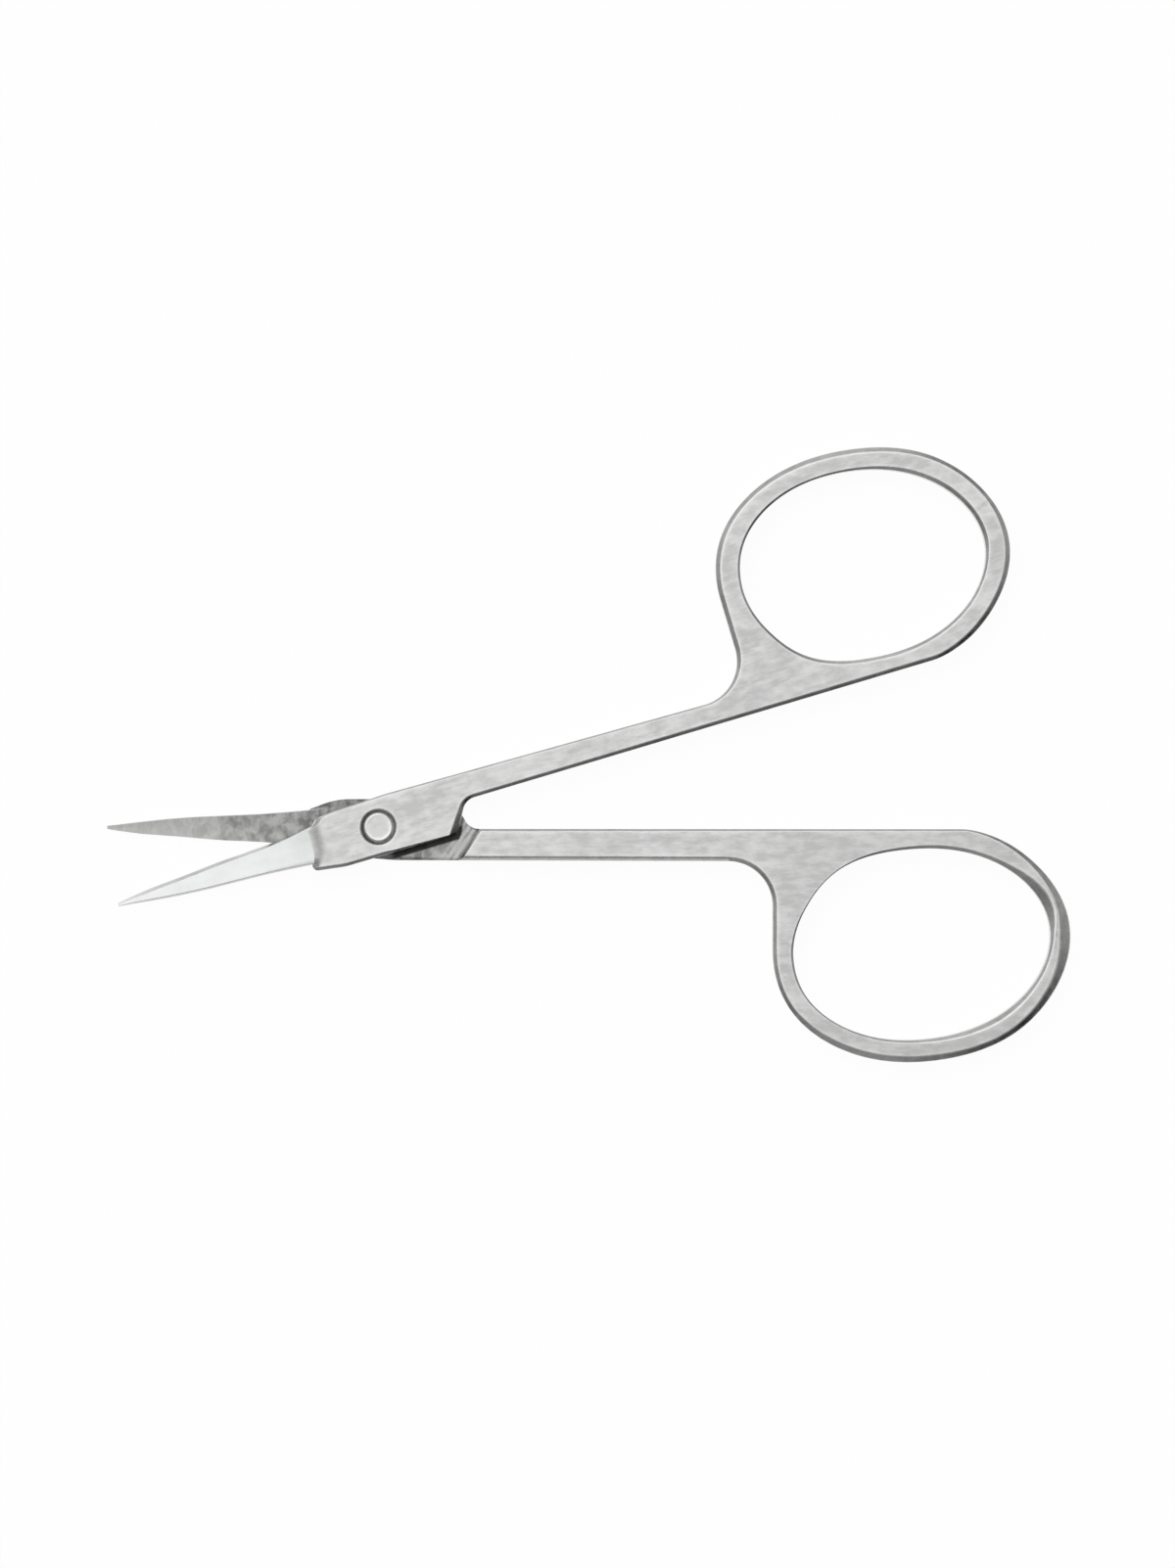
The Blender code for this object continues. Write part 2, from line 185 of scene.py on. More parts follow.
SPINE_SHARES = (
    1.04, 0.95, 0.87, 0.795, 0.72, 0.67, 0.62, 0.575, 0.515, 0.43, 0.32, 0.235, 0.165, 0.115, 0.08,
)
EDGE_HEIGHT_SHARES = (0.99, 0.97, 0.9, 0.8, 0.7, 0.62, 0.57, 0.54, 0.56, 0.63, 0.72, 0.8, 0.86, 0.91, 0.93)
BEVEL_SHARES = (0.35, 0.40, 0.50, 0.65, 0.80, 0.90) + 9 * (1.0,)
SPINE_BEVEL_SHARES = (0.5, 0.6, 0.8, 1.0, 1.0, 1.0, 1.0, 1.0, 1.0, 1.0, 0.9, 0.8, 0.7, 0.6, 0.5)
BLADE_ROOT = STATION_SHARES[0]
BEVEL_LIMIT_SHARE = 0.30
SPINE_LIMIT_SHARE = 0.20

# Milling lines on the inner face beside the shoulder, which lighten it
MILLING_PITCH = 0.00054
MILLING_REACH = 0.00190
MILLING_FADE = 0.00080
MILLED_LEVEL = 0.16

# The rivet
RIVET_RADIUS = 0.00120
RIVET_CLEARANCE = 0.00005
HEAD_HEIGHT = 0.00055
HEAD_BREAK = 0.00010
HEAD_MARGIN = 0.00015
PEEN_RADIUS = 0.00150
PEEN_BREAK = 0.00034
PEEN_DEPTH = 0.00045
SINK_BREAK = 0.00019
BURNISHED_RADIUS = 0.00114
PLAIN_RADIUS = 0.00088
END_DISH = 0.000015

# Fineness
ROUND_STEP_DEGREES = 3.0
FEWEST_ROUND_STEPS = 3
RING_STEP_DEGREES = 1.5
SHARE_STEP_DEGREES = 30.0
SMALLEST_TURN_DEGREES = 1.0
SMALLEST_ARC = 0.00003
SHARP_DEGREES = 28.0
WELD = 0.0000002
RIVET_SIDES = 96
BLADE_STATIONS = 90
HOLLOW_STEPS = 8
SHOULDER_STEPS = 12
SPINE_STEPS = 4
HEAD_BREAK_STEPS = 4
PEEN_BREAK_STEPS = 6

# What differs between the halves. The rim shares go by the way that a ring's edge faces, every 30 degrees
THUMB = SimpleNamespace(
    horn_reach=0.00735,
    horn_drop=0.00050,
    shank=0.00267,
    shank_at_ring=0.00205,
    reach=0.06416,
    opening_length=0.02310,
    opening_width=0.01766,
    end_band=0.00234,
    side_band=0.00191,
    shank_rim=0.00020,
    inner_rim=0.00037,
    boss_rim=0.00016,
    lap_rim=LAP_RIM,
    ring_rim_shares=(0.52, 0.43, 0.50, 0.60, 0.55, 0.56, 0.55, 0.50, 0.42, 0.41, 0.52, 0.52),
    opening_rim_shares=(0.25, 0.27, 0.36, 0.42, 0.36, 0.30, 0.47, 0.47, 0.42, 0.20, 0.24, 0.24),
    ring_darkening=0.0,
)
FINGER = SimpleNamespace(
    horn_reach=0.00695,
    horn_drop=0.00110,
    shank=0.00292,
    shank_at_ring=0.00303,
    reach=0.06462,
    opening_length=0.02418,
    opening_width=0.01794,
    end_band=0.00196,
    side_band=0.00200,
    shank_rim=0.00046,
    inner_rim=0.00028,
    boss_rim=0.00034,
    lap_rim=0.00080,
    ring_rim_shares=(1.15, 0.82, 0.62, 0.66, 0.64, 0.48, 0.50, 0.46, 0.40, 0.20, 0.36, 0.74),
    opening_rim_shares=(0.25, 0.12, 0.12, 0.36, 0.50, 1.10, 0.42, 0.38, 0.60, 0.30, 0.14, 0.19),
    ring_darkening=0.26,
)

# Material slots of a half, and what its vertices carry
BRUSHED, EDGE, GROUND, POLISHED = range(4)
# What the vertices carry: wear, and painted shade in creases, grooves and seams
MARKS = ("edge_wear", "painted_shade")


# Outlines in plan

def curve(start, end, slope, end_slope, part):
    """A smooth curve from one value to another, with these slopes at its ends."""
    square = part * part
    cube = square * part
    rise = 3 * square - 2 * cube
    return start + (end - start) * rise + slope * (cube - 2 * square + part) + end_slope * (cube - square)


def swelling(shares, angle):
    """Read a closed table of shares at any angle in degrees, on a smooth curve through its entries."""
    place = (angle / SHARE_STEP_DEGREES) % len(shares)
    first = int(place)
    before, here, after, beyond = (shares[(first + step) % len(shares)] for step in (-1, 0, 1, 2))
    return curve(here, after, (after - before) / 2, (beyond - here) / 2, place - first)


def oval_point(centre, oval, angle):
    """A point of a tilted oval, counted in degrees from its far end."""
    half_length, half_width, tilt, shares = oval
    share = swelling(shares, angle)
    along = half_length * share * cos(radians(angle))
    across = half_width * share * sin(radians(angle))
    return Vector(centre) + Matrix.Rotation(tilt, 2) @ Vector((along, across))


def ring_oval(half):
    """The centre of the ring, which keeps the inner edge and the reach, and its outer oval."""
    half_length = half.opening_length / 2 + half.end_band
    half_width = half.opening_width / 2 + half.side_band
    oval = (half_length, half_width, radians(RING_TILT_DEGREES), RING_SHARES)
    round_trip = [oval_point((0, 0), oval, angle) for angle in range(360)]
    farthest = max(point.x for point in round_trip)
    lowest = min(point.y for point in round_trip)
    return (half.reach - farthest, INNER_EDGE - RING_FLAT - lowest), oval


def rimmed(half, centre, oval, stops, side, own_shares, far_shares):
    """Corners round an oval: place, radius, rim width before and after it, and share of the wear that fits.

    Side is 1 with the steel inside the oval, or else -1. Far shares are those of the ring's other edge.
    """
    outline = []
    for stop in stops:
        ahead = oval_point(centre, oval, stop + side) - oval_point(centre, oval, stop - side)
        facing = degrees(atan2(-ahead.x, ahead.y))
        own = RING_RIM * swelling(own_shares, facing)
        far = RING_RIM * swelling(far_shares, facing + 180)
        room = (half.side_band - OPENING_SHIFT_ACROSS - own - far) / 2
        wear = min(1.0, max(SMALLEST_WEAR_SHARE, room / (WEAR_WIDTH + WEAR_FADE)))
        outline.append((oval_point(centre, oval, stop), 0, own, own, wear))
    return outline


def ring_outline(half):
    """The corners of the ring's outer edge, from the handle's inner edge round to the web."""
    centre, oval = ring_oval(half)
    start = min(LOW_SIDE, key=lambda angle: oval_point(centre, oval, angle).y)
    while oval_point(centre, oval, start).y < INNER_EDGE:
        start += 1
    end = min(NEAR_SIDE, key=lambda angle: oval_point(centre, oval, angle).x)
    count = ceil((end - start) / RING_STEP_DEGREES)
    stops = [start + (end - start) * step / count for step in range(count + 1)]
    return rimmed(half, centre, oval, stops, 1, half.ring_rim_shares, half.opening_rim_shares)


def opening_outline(half):
    """The corners of the ring's opening, anticlockwise."""
    u, v = ring_oval(half)[0]
    centre = (u - OPENING_SHIFT_ALONG, v - OPENING_SHIFT_ACROSS)
    oval = (half.opening_length / 2, half.opening_width / 2, radians(OPENING_TILT_DEGREES), OPENING_SHARES)
    count = ceil(360.0 / RING_STEP_DEGREES)
    stops = [360.0 * step / count for step in range(count)]
    return rimmed(half, centre, oval, stops, -1, half.opening_rim_shares, half.ring_rim_shares)


def offset_meeting(corner, first_normal, second_normal, first_offset, second_offset):
    """Where two lines through a corner meet once each is moved along its normal."""
    cross = first_normal.cross(second_normal)
    u = (first_offset * second_normal.y - second_offset * first_normal.y) / cross
    v = (second_offset * first_normal.x - first_offset * second_normal.x) / cross
    return corner + Vector((u, v))


def corner_points(before, corner, after, radius, width_before, width_after):
    """Points round one corner of an anticlockwise outline, moved inward by the widths on its sides."""
    back = before - corner
    ahead = after - corner
    first_normal = -back.normalized().orthogonal()
    second_normal = ahead.normalized().orthogonal()
    turn = pi - back.angle(ahead)
    if turn < radians(SMALLEST_TURN_DEGREES):
        return [corner + (first_normal + second_normal).normalized() * (width_before + width_after) / 2]
    if radius == 0:
        return [offset_meeting(corner, first_normal, second_normal, width_before, width_after)]
    reach = min(radius * tan(turn / 2), back.length / 2, ahead.length / 2)
    side = 1 if first_normal.cross(second_normal) > 0 else -1
    arc = max(reach / tan(turn / 2) - side * (width_before + width_after) / 2, SMALLEST_ARC)
    offsets = (width_before + side * arc, width_after + side * arc)
    centre = offset_meeting(corner, first_normal, second_normal, *offsets)
    count = max(FEWEST_ROUND_STEPS, ceil(turn / radians(ROUND_STEP_DEGREES)))
    turns = [Matrix.Rotation(side * turn * step / count, 2) for step in range(count + 1)]
    return [centre - rotation @ first_normal * side * arc for rotation in turns]


def corners_of(half, toe, boss, horn, belly, heel, notch_heel, notch):
    """The corners of a half's plan: place, radius, rim width before and after it, and share of the wear."""
    notch_reach = HEEL_REACH + (BOSS_HALF_WIDTH + INNER_EDGE) / tan(radians(NOTCH_DEGREES))
    seam = (belly + heel) / 2
    ring = ring_outline(half)
    start = (ring[0][0], RING_START_RADIUS, *ring[0][2:])
    ring_end, _, _, ring_rim, _ = ring[-1]
    others = (
        (ring_end.x, INNER_EDGE + half.shank_at_ring, WEB_RADIUS, ring_rim, half.shank_rim),
        (SHANK_START, INNER_EDGE + half.shank, SHANK_START_RADIUS, half.shank_rim, half.shank_rim),
        (-BOSS_BELLY, BOSS_HALF_WIDTH, BOSS_BELLY_RADIUS, boss, boss),
        (-TOE_REACH, BOSS_HALF_WIDTH - TOE_EDGE_DROP, TOE_RADIUS, boss, toe),
        (-TOE_REACH, -TOE_BEND, TOE_BEND_RADIUS, toe, toe),
        (-half.horn_reach, -BOSS_HALF_WIDTH + half.horn_drop, HORN_RADIUS, horn, belly),
        (-BOSS_BELLY, -BOSS_HALF_WIDTH, BOSS_BELLY_RADIUS, belly, belly),
        (SEAM_START, -BOSS_HALF_WIDTH, 0, belly, belly),
        (SEAM_START + SEAM_TAPER, -BOSS_HALF_WIDTH, 0, seam, seam),
        (HEEL_REACH, -BOSS_HALF_WIDTH, HEEL_RADIUS, heel, notch_heel),
        (notch_reach, INNER_EDGE, NOTCH_RADIUS, notch, half.inner_rim),
    )
    return [start] + ring[RING_START_STEPS:] + [(Vector((u, v)), *rest, 1) for u, v, *rest in others]


def inset(corners, share, extra=0.0):
    """The closed outline moved inward by a share of each rim's width, and farther where there's room."""
    points = []
    for index, (place, radius, before, after, wear) in enumerate(corners):
        back = corners[index - 1][0]
        ahead = corners[(index + 1) % len(corners)][0]
        more = extra * wear
        points += corner_points(back, place, ahead, radius, before * share + more, after * share + more)
    return points


def shoulder_line():
    """A point on the shoulder's wall and the normal that points into the handle."""
    slope = radians(SHOULDER_DEGREES)
    place = Vector((HEEL_REACH + SHOULDER_CLEARANCE, BOSS_HALF_WIDTH))
    return place, Vector((sin(slope), cos(slope)))


def crossings(points, depth):
    """Where a closed outline crosses a line beside the shoulder: the side's index and the share along it."""
    place, normal = shoulder_line()
    past = [(point - place).dot(normal) - depth for point in points]
    sides = enumerate(zip(past, past[1:] + past[:1]))
    return [(index, here / (here - there)) for index, (here, there) in sides if (here > 0) != (there > 0)]


def along_side(loop, index, share):
    """A place on one side of a closed loop."""
    return loop[index].lerp(loop[(index + 1) % len(loop)], share)


class Plan:
    """One half's outline, split where its boss gives way to the shoulder of its handle."""

    def __init__(self, corners):
        self.corners = corners
        self.found = crossings(inset(corners, 0), 0)
        leaving, self.arriving = (crossing[0] + 1 + order for order, crossing in enumerate(self.found))
        self.handle_count = len(self.whole(0)) - self.arriving + leaving + 1

    def whole(self, share, extra=0.0):
        """The inset outline with the shoulder's two ends put in, from the handle's inner edge on."""
        loop = inset(self.corners, share, extra)
        for index, part in reversed(self.found):
            loop.insert(index + 1, along_side(loop, index, part))
        return loop[self.arriving:] + loop[:self.arriving]

    def handle(self, share, extra=0.0):
        """The inset outline of the handle alone, closed by the shoulder."""
        place, normal = shoulder_line()
        depth = SHOULDER_RIM * share + extra
        loop = self.whole(share, extra)
        ends = [along_side(loop, index, part) for index, part in crossings(loop, depth)]
        first, last = sorted(ends, key=lambda end: end.y)
        points = []
        for index, point in enumerate(loop[:self.handle_count]):
            end = first if index < self.handle_count / 2 else last
            clear = (point - place).dot(normal) > depth and 0 < index < self.handle_count - 1
            points.append(point if clear else end)
        return points + [last.lerp(first, step / SHOULDER_STEPS) for step in range(1, SHOULDER_STEPS)]


# Meshes

def finished_object(name, mesh):
    data = bpy.data.meshes.new(name)
    mesh.to_mesh(data)
    mesh.free()
    thing = bpy.data.objects.new(name, data)
    bpy.context.scene.collection.objects.link(thing)
    return thing


def rim_shape():
    """Rows of a rim, out and down as shares of its width, and how far down the toe's step is at each."""
    rows = [(0.0, 0.0, 0.0)]
    for end, tilt, toe in RIM_STEPS:
        out, down, sunk = rows[-1]
        rows.append((end, down + (end - out) * tan(radians(tilt)), sunk + (end - out) * toe))
    return [(out, down, sunk / rows[-1][2]) for out, down, sunk in rows]


RIM_ROWS = rim_shape()
LAP_ROWS = [(row[0] / RIM_ROWS[-STEEP_STEPS - 1][0], row[1]) for row in RIM_ROWS[:-STEEP_STEPS]]


def blade_top(v, u):
    """Height of the blade's outer face, used where the toe runs down to it."""
    outer = sorted((point.y, point.z) for point in blade_section(-u / BLADE_REACH)[0])
    v = min(max(v, outer[0][0]), outer[-1][0])
    for (low_v, low_z), (high_v, high_z) in zip(outer, outer[1:]):
        if v <= high_v:
            return low_z + (high_z - low_z) * (v - low_v) / (high_v - low_v)


def along_table(shares, place):
    """Read an open table at a station of the blade, on a smooth curve."""
    stations = STATION_SHARES
    if place <= stations[0]:
        return shares[0]
    index = min(bisect_left(stations, place), len(stations) - 1) - 1
    low, high = stations[index], stations[index + 1]

    def slope(middle):
        first = max(0, middle - 1)
        last = min(len(stations) - 1, middle + 1)
        return (shares[last] - shares[first]) / (stations[last] - stations[first]) * (high - low)

    part = (place - low) / (high - low)
    return curve(shares[index], shares[index + 1], slope(index), slope(index + 1), part)


def hollow(start, end, height):
    """Points from one place to another across a blade, on an arch of this height."""
    points = []
    for step in range(HOLLOW_STEPS + 1):
        share = step / HOLLOW_STEPS
        points.append(start.lerp(end, share) + Vector((0, 0, 4 * height * share * (1 - share))))
    return points


def blade_section(place):
    """A cross-section of a blade: the outer side from the edge to the spine, then the inner side back."""
    u = -BLADE_REACH * place
    edge = BLADE_EDGE_SIDE * along_table(EDGE_SHARES, place)
    spine = -BLADE_SPINE_SIDE * along_table(SPINE_SHARES, place)
    width = edge - spine
    bevel = min(BEVEL_WIDTH * along_table(BEVEL_SHARES, place), width * BEVEL_LIMIT_SHARE)
    spine_bevel = min(SPINE_BEVEL * along_table(SPINE_BEVEL_SHARES, place), width * SPINE_LIMIT_SHARE)
    fit = min(1.0, width / BLADE_EDGE_SIDE)
    inner = INNER_FACE + BLADE_RELIEF
    toward_tip = (place - BLADE_ROOT) / (1 - BLADE_ROOT)
    top = inner + BLADE_THICKNESS + (BLADE_TIP_THICKNESS - BLADE_THICKNESS) * toward_tip
    bevel_top = inner + (top - inner) * along_table(EDGE_HEIGHT_SHARES, place)
    v, height = spine + spine_bevel, top
    outer = [Vector((u, edge, inner + BEVEL_LAND))]
    outer += hollow(Vector((u, edge - bevel, bevel_top)), Vector((u, v, height)), -BLADE_HOLLOW * fit)
    for step in range(1, SPINE_STEPS + 1):
        tilt = radians(SPINE_BEVEL_DEGREES * step / (SPINE_STEPS + 1))
        stride = spine_bevel * SPINE_TURN_SHARE / SPINE_STEPS
        v -= stride
        height -= stride * tan(tilt)
        outer.append(Vector((u, v, height)))
    height -= (v - spine) * tan(radians(SPINE_BEVEL_DEGREES))
    outer.append(Vector((u, spine, height)))
    spine_break = min(SPINE_BREAK, spine_bevel / 2)
    inner_side = [Vector((u, spine, inner + spine_break))]
    start, end = Vector((u, spine + spine_break, inner)), Vector((u, edge, inner))
    inner_side += hollow(start, end, INNER_HOLLOW * fit)
    return outer, inner_side


def blade(name):
    """The blade, with its root inside the boss."""
    mesh = bmesh.new()
    loops = []
    for step in range(BLADE_STATIONS + 1):
        outer, inner = blade_section(BLADE_ROOT + (1 - BLADE_ROOT) * (step / BLADE_STATIONS))
        loops.append([mesh.verts.new(point) for point in outer + inner])
    # Round the section: the bevel, the polished face, the spine with its breaks, and the ground face
    slots = [EDGE] + [POLISHED] * HOLLOW_STEPS + [EDGE] * (SPINE_STEPS + 3) + [GROUND] * (HOLLOW_STEPS + 1)
    for near, far in zip(loops, loops[1:]):
        for index, slot in enumerate(slots):
            following = (index + 1) % len(slots)
            face = mesh.faces.new((near[index], far[index], far[following], near[following]))
            face.material_index = slot
            face.smooth = True
    for loop in (loops[0], loops[-1][::-1]):
        mesh.faces.new(loop).material_index = EDGE
    bmesh.ops.recalc_face_normals(mesh, faces=mesh.faces)
    return finished_object(name, mesh)


def strip(mesh, low, high, material, smooth=True):
    """Faces between two closed or open rows of vertices of the same length."""
    for index in range(len(low) - 1):
        corners = list(dict.fromkeys((low[index], low[index + 1], high[index + 1], high[index])))
        if len(corners) > 2 and mesh.faces.get(corners) is None:
            face = mesh.faces.new(corners)
            face.material_index = material
            face.smooth = smooth


def rim_rows(mesh, inset_at, height, toward_middle, wear_layer, toe=None):
    """One rim's faces and rows: two of fading wear on the flat, then the rim down to its foot.

    Toe holds, for each point, how much the rim becomes a soft step, how far that reaches out and its foot.
    """
    outer = inset_at(0, 0.0)
    inner = inset_at(1, 0.0)
    steps = toe or [(0.0, Vector((0, 0)), 0.0)] * len(outer)
    rows = []
    for distance, wear in WEAR_ROWS:
        row = []
        for point, step in zip(inset_at(1, distance), steps):
            vertex = mesh.verts.new((point.x, point.y, height))
            vertex[wear_layer] = wear * (1 - step[0])
            row.append(vertex)
        rows.append(row)
    for out, down, sunk in RIM_ROWS:
        row = []
        for point, edge, (softness, reach_out, foot) in zip(outer, inner, steps):
            fall = down * (point - edge).length
            fall += ((height - foot) * sunk - fall) * softness
            place = edge.lerp(point + reach_out, out)
            vertex = mesh.verts.new((place.x, place.y, height + toward_middle * fall))
            vertex[wear_layer] = max(0.0, 1.0 - out / RIM_WEAR_SHARE) * (1 - softness)
            row.append(vertex)
        rows.append(row)
    return rim_faces(mesh, rows)


def rim_faces(mesh, rows):
    """The rows with their faces; those on the flat are part of the brushed face."""
    for index, (low, high) in enumerate(zip(rows, rows[1:])):
        flat = index < len(WEAR_ROWS)
        strip(mesh, closed(low), closed(high), BRUSHED if flat else EDGE, not flat)
    return rows


def fill_flat(mesh, loops, up, material):
    """A flat between closed rows of vertices."""
    edges = []
    for loop in loops:
        kept = [vertex for vertex in loop if vertex.is_valid]
        for index in range(len(kept)):
            pair = (kept[index - 1], kept[index])
            edges.append(mesh.edges.get(pair) or mesh.edges.new(pair))
    made = bmesh.ops.triangle_fill(mesh, edges=edges, use_beauty=True, normal=(0, 0, up))
    for item in made["geom"]:
        if isinstance(item, bmesh.types.BMFace):
            item.material_index = material
            item.smooth = False


def marked_mesh():
    """An empty mesh and the layers in which its vertices carry wear and painted shade."""
    mesh = bmesh.new()
    return mesh, [mesh.verts.layers.float.new(mark) for mark in MARKS]


def circle(mesh, layers, radius, height, wear, painted_shade):
    """A circle of vertices about the z axis, with the groove's painted shade, darker on the side of the
    blades.
    """
    row = []
    for step in range(RIVET_SIDES):
        angle = 2 * pi * step / RIVET_SIDES
        vertex = mesh.verts.new((radius * cos(angle), radius * sin(angle), height))
        vertex[layers[0]] = wear
        vertex[layers[1]] = painted_shade * GROOVE_SHADE * (1 - GROOVE_LEAN * cos(angle))
        row.append(vertex)
    return row


def closed(row):
    return row + row[:1]


def bore_rows(mesh, layers, profile):
    """The worn flat round the rivet's hole, then its wall, from the outer face to the meeting face."""
    mouth, top = profile[0]
    rows = [circle(mesh, layers, mouth + distance, top, wear, 0) for distance, wear in WEAR_ROWS]
    # The hole's walls carry the groove's painted shade
    rows += [circle(mesh, layers, radius, height, float(radius == mouth), 1) for radius, height in profile]
    return rim_faces(mesh, rows)


def ramp(value, low, high):
    """A soft rise from 0 to 1."""
    share = min(1.0, max(0.0, (value - low) / (high - low)))
    return share * share * (3 - 2 * share)


def toe_step(point):
    """How soft the toe's step is at an outline point, how far it reaches out over the blade, and its foot."""
    root = [place.y for place in blade_section(-point.x / BLADE_REACH)[0]]
    spine, edge = min(root), max(root)
    corner = edge + TOE_CORNER_REACH
    along = ramp(-point.x, TOE_REACH - TOE_RADIUS, TOE_REACH - TOE_RADIUS / 2)
    softness = along * ramp(point.y, spine - TOE_FADE, spine) * ramp(-point.y, -corner - TOE_FADE, -corner)
    inside = ramp(point.y, spine, spine + TOE_FADE) * ramp(-point.y, -edge, -edge + TOE_FADE)
    beyond = -TOE_REACH - TOE_REACH_OUT - point.x
    reach_out = Vector((max(-TOE_REACH_OUT, beyond) * along * inside, 0))
    over_face = min(point.y, edge - BEVEL_WIDTH)
    foot = blade_top(over_face, point.x + reach_out.x) - TOE_SINK
    return softness, reach_out, foot


def seam_share(point):
    """How much of the painted shadow along the boss's lower edge an outline point carries."""
    lower_edge = ramp(-point.y, BOSS_HALF_WIDTH - HEEL_RADIUS, BOSS_HALF_WIDTH - HEEL_RADIUS / 2)
    return lower_edge * ramp(HEEL_REACH + HEEL_RADIUS - point.x, 0, HEEL_RADIUS)


def forging(name, half, bore_profile):
    """Ring, shank and boss of one half, with every rim, the shoulder and the bore."""
    mesh, (wear, painted_shade) = marked_mesh()
    rims = (TOE_RIM, half.boss_rim, HORN_RIM, BELLY_RIM, HEEL_RIM, NOTCH_HEEL_RIM, NOTCH_RIM)
    lap_rims = (LAP_RIM, LAP_RIM, half.lap_rim, half.lap_rim, LAP_RIM, LAP_RIM, LAP_RIM)
    plan = Plan(corners_of(half, *rims))
    lap_plan = Plan(corners_of(half, *lap_rims))
    outline = plan.whole(0)
    handle_count = plan.handle_count

    # The outer face and its rim, with the step down to the blade
    toe = [toe_step(point) for point in outline]
    top = rim_rows(mesh, plan.whole, HALF_THICKNESS, -1, wear, toe)
    # Painted shadow on the rim along the boss's lower edge, weaker on its foot row
    for row in top[len(WEAR_ROWS):]:
        share = FOOT_SHADE if row is top[-1] else 1.0
        for vertex, point, step in zip(row, outline, toe):
            seam_shadow_amount = share * ramp(point.x, SEAM_START, SEAM_START + SEAM_TAPER) * seam_share(point)
            # Painted shade on the toe's soft step, darker on its lower part
            lower_part = ramp(-point.y, -TOE_FADE, 2 * TOE_FADE)
            toe_shade_amount = TOE_CREST_SHADE + (TOE_SHADE - TOE_CREST_SHADE) * lower_part
            vertex[painted_shade] = max(seam_shadow_amount, toe_shade_amount * step[0])

    # The wall down to the meeting plane, and the boss's rim there
    middle = [mesh.verts.new((point.x, point.y, INNER_FACE)) for point in outline[:handle_count]]
    boss_lap = lap_plan.whole(1)[handle_count:]
    boss_rows = []
    for out, down in LAP_ROWS:
        row = [middle[-1]]
        for outer, inner in zip(outline[handle_count:], boss_lap):
            place = inner.lerp(outer, out)
            rise = min(down * (outer - inner).length, HALF_THICKNESS / 2)
            row.append(mesh.verts.new((place.x, place.y, INNER_FACE + rise)))
        row.append(middle[0])
        boss_rows.append(row)
    foot = top[-1]
    boss_foot = boss_rows[-1][1:-1]
    seam = []
    # Painted shade at the foot of the wall: full at the boss's foot where the halves meet, weaker up the wall
    for index, (high, low) in enumerate(zip(foot, middle + boss_foot)):
        vertex = mesh.verts.new(low.co.lerp(high.co, FOOT_SHARE))
        low[painted_shade] = 1.0 if index >= handle_count else 0.0
        vertex[painted_shade] = low[painted_shade] * FOOT_SHADE
        seam.append(vertex)
    strip(mesh, closed(foot), closed(seam), EDGE)
    strip(mesh, seam[:handle_count], middle, EDGE)
    strip(mesh, seam[handle_count - 1:] + seam[:1], boss_rows[-1], EDGE)
    for low, high in zip(boss_rows, boss_rows[1:]):
        strip(mesh, high, low, GROUND)

    # The handle's lower part, closed by the shoulder
    shoulder = plan.handle(0)[handle_count:]
    shoulder_top = [middle[-1]] + [mesh.verts.new((p.x, p.y, INNER_FACE)) for p in shoulder] + [middle[0]]
    bottom = rim_rows(mesh, plan.handle, -HALF_THICKNESS, 1, wear)
    # Painted shade on the shoulder's wall and the last rows of its rim
    for row in bottom[-SHOULDER_ROWS:] + [shoulder_top[1:-1]]:
        for vertex in row[-len(shoulder):]:
            vertex[painted_shade] = SHOULDER_SHADE
    foot = bottom[-1]
    strip(mesh, foot[:handle_count], middle, EDGE)
    strip(mesh, foot[handle_count - 1:] + foot[:1], shoulder_top, EDGE)

    # The ring's opening
    hole = opening_outline(half)[::-1]

    def hole_at(share, extra):
        return inset(hole, share, extra)

    upper_hole = rim_rows(mesh, hole_at, HALF_THICKNESS, -1, wear)
    lower_hole = rim_rows(mesh, hole_at, -HALF_THICKNESS, 1, wear)
    strip(mesh, closed(upper_hole[-1]), closed(lower_hole[-1]), EDGE)

    # The bore and the three flats
    bore = bore_rows(mesh, (wear, painted_shade), bore_profile)
    bmesh.ops.remove_doubles(mesh, verts=mesh.verts, dist=WELD)
    fill_flat(mesh, [top[0], upper_hole[0], bore[0]], 1, BRUSHED)
    fill_flat(mesh, [bottom[0], lower_hole[0]], -1, BRUSHED)
    lap = boss_rows[0] + list(reversed(shoulder_top[1:-1]))
    fill_flat(mesh, [lap, bore[-1]], -1, GROUND)
    bmesh.ops.recalc_face_normals(mesh, faces=mesh.faces)
    return finished_object(name, mesh)


# The rivet's hole in each half, from the outer face to the meeting face: radius and height
BORE_RADIUS = RIVET_RADIUS + RIVET_CLEARANCE
SINK_RADIUS = PEEN_RADIUS + RIVET_CLEARANCE
SEAT_RADIUS = HEAD_RADIUS + RIVET_CLEARANCE
SEAT_HEIGHT = HALF_THICKNESS - HEAD_HEIGHT - RIVET_CLEARANCE
THUMB_BORE = (
    (SINK_RADIUS + SINK_BREAK, HALF_THICKNESS),
    (SINK_RADIUS + SINK_BREAK / 3, HALF_THICKNESS - SINK_BREAK / 3),
    (SINK_RADIUS, HALF_THICKNESS - PEEN_BREAK),
    (BORE_RADIUS, HALF_THICKNESS - PEEN_DEPTH - RIVET_CLEARANCE),
    (BORE_RADIUS, INNER_FACE),
)
FINGER_BORE = (
    (SEAT_RADIUS, HALF_THICKNESS),
    (SEAT_RADIUS, SEAT_HEIGHT),
    (BORE_RADIUS, SEAT_HEIGHT),
    (BORE_RADIUS, INNER_FACE),
)


